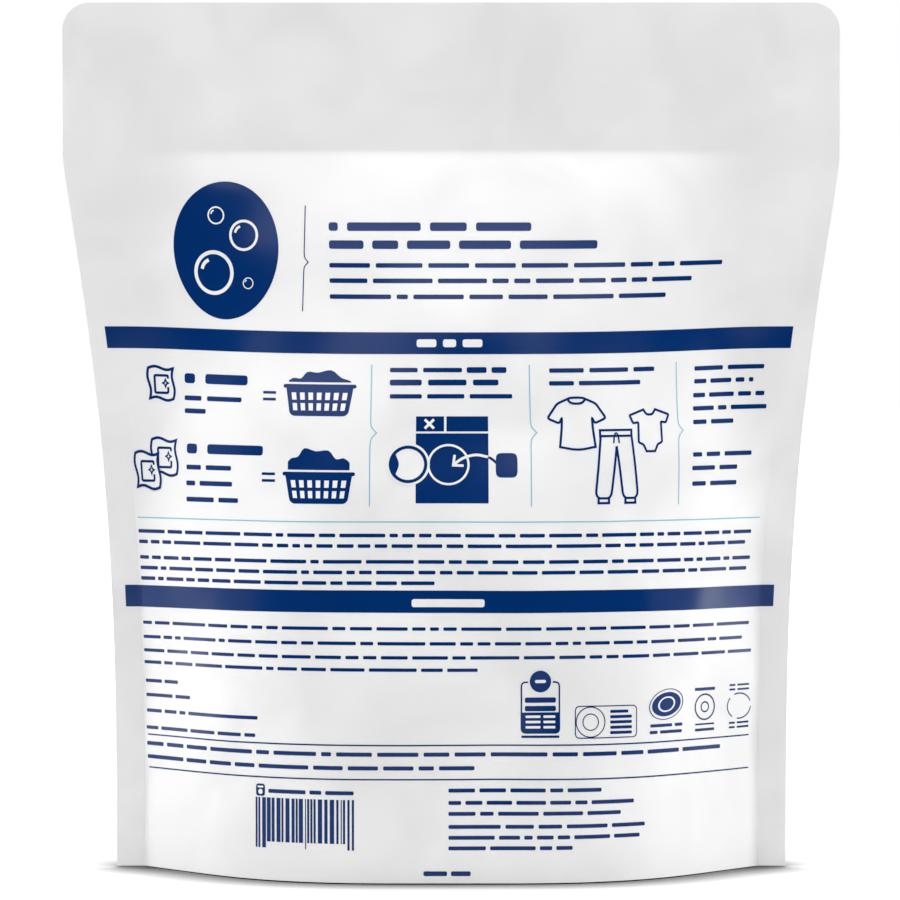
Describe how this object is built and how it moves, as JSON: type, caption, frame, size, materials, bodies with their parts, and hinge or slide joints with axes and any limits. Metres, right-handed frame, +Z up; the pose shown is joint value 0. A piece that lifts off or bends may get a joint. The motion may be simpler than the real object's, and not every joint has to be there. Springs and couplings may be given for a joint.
{
  "type": "laundry pod bag",
  "caption": "Filled stand-up film pouch for laundry pods: flat welded header, bulging body, side seals, gusseted base that rests flat, navy instruction print on white satin film",
  "frame": {"origin": "middle of the base, on the surface the pouch stands on", "axes": "+Z up, X across the panels, printed panel facing -Y"},
  "size_m": [0.2286, 0.087, 0.255],
  "materials": {
    "film_white": "satin white laminated film"
  },
  "bodies": {
    "root": {"pouch": "film_white"}
  },
  "joints": []
}
